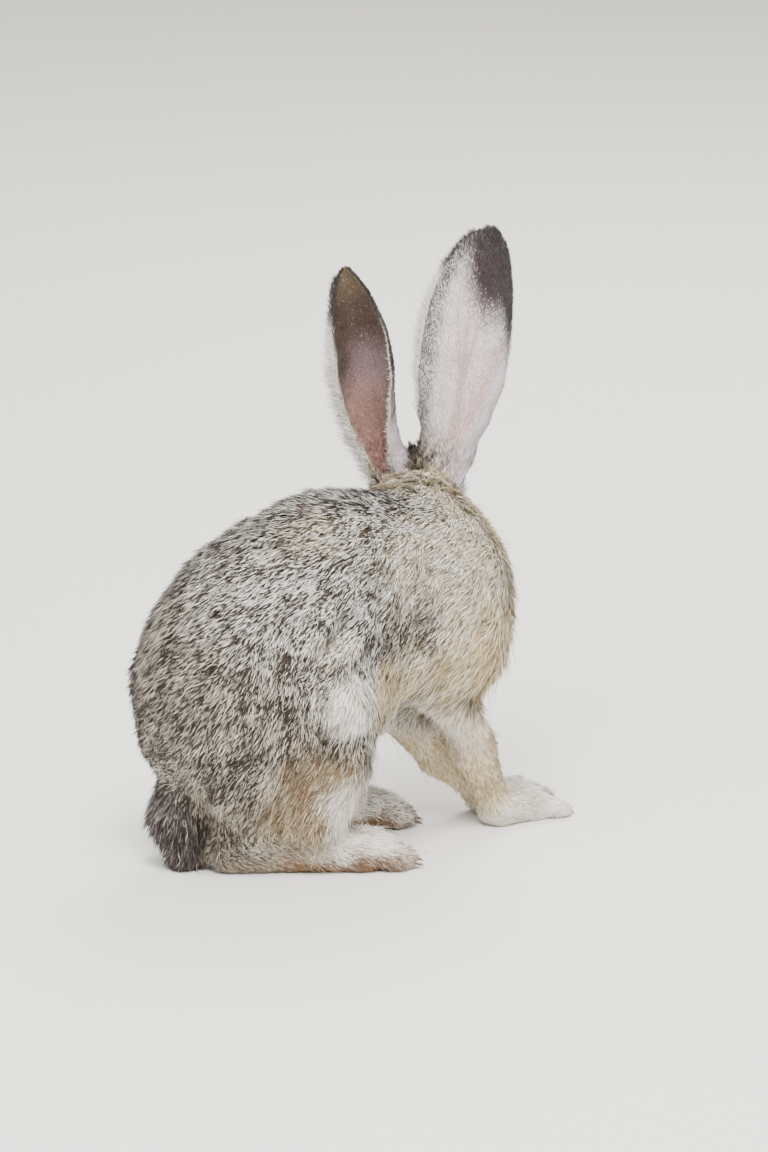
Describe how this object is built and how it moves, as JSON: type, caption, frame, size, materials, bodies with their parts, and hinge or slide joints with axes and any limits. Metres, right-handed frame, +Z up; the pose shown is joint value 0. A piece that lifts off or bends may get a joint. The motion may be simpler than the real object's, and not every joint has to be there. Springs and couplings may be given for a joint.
{
  "type": "black-tailed jackrabbit, sitting",
  "caption": "Life-size still model of a black-tailed jackrabbit sitting on its haunches, long ears up, head turned away and lowered.",
  "frame": {"origin": "middle of the floor under the whole animal, at the level its feet and tail rest on", "axes": "+X where the hindquarters point, +Y to the animal's left, +Z up"},
  "size_m": [0.2918, 0.1928, 0.3694],
  "materials": {
    "coat": "short fur, grizzled grey",
    "pale_coat": "short soft fur, cream to white",
    "ear_skin": "thin skin under very short fur",
    "tail_coat": "soft fur, black above",
    "eye": "wet and glossy",
    "claw": "dull horn"
  },
  "bodies": {
    "root": {"tail": "tail_coat", "neck": "pale_coat", "torso": "coat", "head": "coat", "thigh_right": "coat", "thigh_left": "coat", "shank_right": "coat", "shank_left": "coat", "hind_foot_right": "pale_coat", "hind_foot_left": "pale_coat", "foreleg_right": "pale_coat", "foreleg_left": "pale_coat", "forepaw_right": "pale_coat", "forepaw_left": "pale_coat", "ear_right": "ear_skin", "ear_left": "ear_skin", "eye_right": "eye", "eye_left": "eye"}
  },
  "joints": []
}
